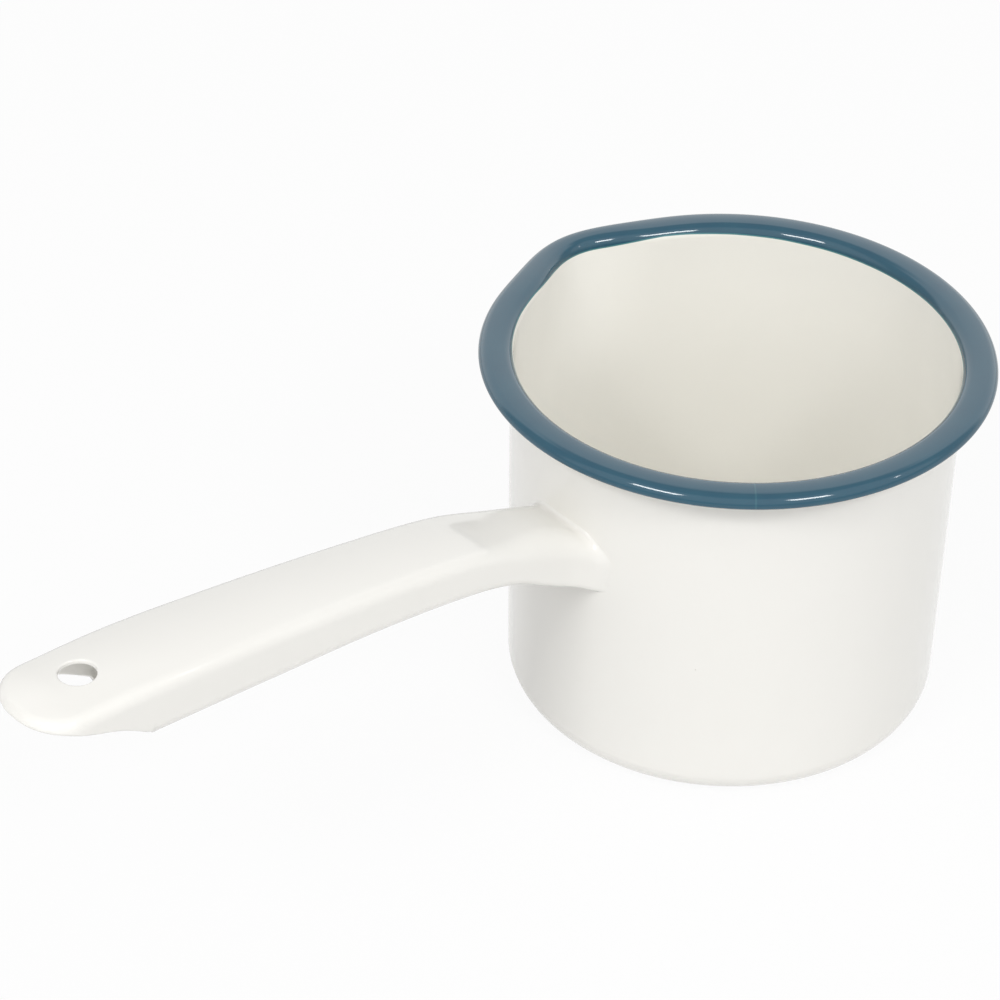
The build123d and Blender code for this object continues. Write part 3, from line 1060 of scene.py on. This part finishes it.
def add_camera():
    """Camera that looks along an azimuth, tilted down and rolled a little."""
    turn, tilt, roll = radians(camera_azimuth), radians(camera_tilt), radians(camera_roll)
    ahead = Vector((cos(turn) * cos(tilt), sin(turn) * cos(tilt), -sin(tilt)))
    level = Vector((sin(turn), -cos(turn), 0))
    upright = level.cross(ahead)
    right = level * cos(roll) + upright * sin(roll)
    up = upright * cos(roll) - level * sin(roll)
    camera = bpy.data.objects.new("camera", bpy.data.cameras.new("camera"))
    bpy.context.scene.collection.objects.link(camera)
    aim = Matrix((right, up, -ahead)).transposed().to_4x4()
    camera.matrix_world = Matrix.Translation(camera_place) @ aim
    camera.data.lens = camera_lens
    camera.data.sensor_width = sensor_width
    bpy.context.scene.camera = camera


add_camera()

# Floor: its size, its own white, and the share of plain white that the camera and reflections see
floor_size = 8.0
floor_white = 0.8
floor_lift = 0.93


def add_floor():
    """Plain white floor, which the camera sees as white where no shadow falls."""
    half = floor_size / 2
    mesh = bpy.data.meshes.new("floor")
    corners = [(-half, -half, 0), (half, -half, 0), (half, half, 0), (-half, half, 0)]
    mesh.from_pydata(corners, [], [(0, 1, 2, 3)])
    floor = link_new("floor", mesh)
    finish = bpy.data.materials.new("floor_paper")
    finish.use_nodes = True
    tree = finish.node_tree
    tree.nodes.clear()
    paper = add_node(tree, "ShaderNodeBsdfDiffuse", {"Color": (floor_white, floor_white, floor_white, 1)})
    bright = add_node(tree, "ShaderNodeEmission", {"Strength": 1.0})
    rays = tree.nodes.new("ShaderNodeLightPath").outputs
    seen = maths(tree, "MAXIMUM", rays["Is Camera Ray"], rays["Is Glossy Ray"])
    share = maths(tree, "MULTIPLY", seen, floor_lift)
    mixed = add_node(tree, "ShaderNodeMixShader", {0: share, 1: paper.outputs[0], 2: bright.outputs[0]})
    add_node(tree, "ShaderNodeOutputMaterial", {"Surface": mixed.outputs[0]})
    mesh.materials.append(finish)


add_floor()

# Studio: a grey room, white paper behind the pan, and a broad glow with softboxes in front of it
room_strength = 0.7
paper_shine = 1.5
paper_light = 0.1
paper_half_width = 65.0
paper_top = 54.0
glow_azimuth = -125.0
glow_half_width = 84.0
glow_low, glow_high = 13.0, 66.0
glow_strength = 0.99
glow_shine = 1.15
table_strength = 0.3
table_shine = 0.7
edge_softness = 6.0
lamp_target = Vector((0, 0, 0.09))
lamp_distance = 1.6

# Each lamp's azimuth, elevation, width and height as angles, and brightness
softboxes = {
    "left_softbox": (-168.5, 43.0, 17.0, 10.0, 15.0),
    "right_softbox": (-97.5, 43.0, 14.0, 10.0, 15.0),
    "side_lamp": (-57.0, 36.0, 1.6, 3.0, 25.0),
}


def direction(azimuth, elevation):
    """Unit vector towards an azimuth and elevation."""
    turn, tilt = radians(azimuth), radians(elevation)
    return Vector((cos(turn) * cos(tilt), sin(turn) * cos(tilt), sin(tilt)))


def add_softbox(name, azimuth, elevation, wide, high, brightness):
    """Softbox that faces the pan from a direction, with its size given as the angles it fills."""
    light = bpy.data.lights.new(name, "AREA")
    light.shape = "RECTANGLE"
    light.size = 2 * lamp_distance * tan(radians(wide / 2))
    light.size_y = 2 * lamp_distance * tan(radians(high / 2))
    light.energy = brightness * pi * light.size * light.size_y
    lamp = bpy.data.objects.new(name, light)
    bpy.context.scene.collection.objects.link(lamp)
    away = direction(azimuth, elevation)
    lamp.location = lamp_target + away * lamp_distance
    lamp.rotation_euler = away.to_track_quat("Z", "Y").to_euler()


def sky_patch(tree, way, azimuth, half_width):
    """Mask of a range of azimuths in the surroundings."""
    centre = direction(azimuth, 0)
    flat = add_node(tree, "ShaderNodeVectorMath", {0: way, 1: (1, 1, 0)}, operation="MULTIPLY")
    level = add_node(tree, "ShaderNodeVectorMath", {0: flat.outputs[0]}, operation="NORMALIZE")
    pair = {0: level.outputs[0], 1: centre}
    facing = add_node(tree, "ShaderNodeVectorMath", pair, operation="DOT_PRODUCT")
    edge = half_width + edge_softness
    inner_edge = half_width - edge_softness
    return soft_step(tree, facing.outputs["Value"], cos(radians(edge)), cos(radians(inner_edge)))


def add_world():
    """Surroundings: paper behind the pan and a glow in front of it. The camera sees them as white."""
    world = bpy.data.worlds.new("studio")
    bpy.context.scene.world = world
    world.use_nodes = True
    tree = world.node_tree
    tree.nodes.clear()
    way = tree.nodes.new("ShaderNodeTexCoord").outputs["Generated"]
    height = add_node(tree, "ShaderNodeSeparateXYZ", {0: way}).outputs["Z"]

    def above(elevation):
        low, high = sin(radians(elevation - edge_softness)), sin(radians(elevation + edge_softness))
        return soft_step(tree, height, low, high)

    def between(below, past, edge):
        return maths(tree, "MULTIPLY_ADD", above(edge), maths(tree, "SUBTRACT", past, below), below)

    def seen_as(light, shine):
        return maths(tree, "MULTIPLY_ADD", shiny, shine - light, light)

    rays = tree.nodes.new("ShaderNodeLightPath").outputs
    shiny = rays["Is Glossy Ray"]
    behind = between(seen_as(paper_light, paper_shine), room_strength, paper_top)
    before = between(seen_as(table_strength, table_shine), seen_as(glow_strength, glow_shine), glow_low)
    before = between(before, room_strength, glow_high)
    strength = room_strength
    for side, azimuth, half_width in (
        (behind, camera_azimuth, paper_half_width),
        (before, glow_azimuth, glow_half_width),
    ):
        share = sky_patch(tree, way, azimuth, half_width)
        strength = maths(tree, "MULTIPLY_ADD", share, maths(tree, "SUBTRACT", side, strength), strength)
    to_white = maths(tree, "SUBTRACT", 1.0, strength)
    seen = maths(tree, "MULTIPLY_ADD", rays["Is Camera Ray"], to_white, strength)
    sky = add_node(tree, "ShaderNodeBackground", {"Color": (1, 1, 1, 1), "Strength": seen})
    add_node(tree, "ShaderNodeOutputWorld", {"Surface": sky.outputs[0]})


add_world()
for name, placing in softboxes.items():
    add_softbox(name, *placing)
bpy.context.scene.view_settings.view_transform = "Standard"
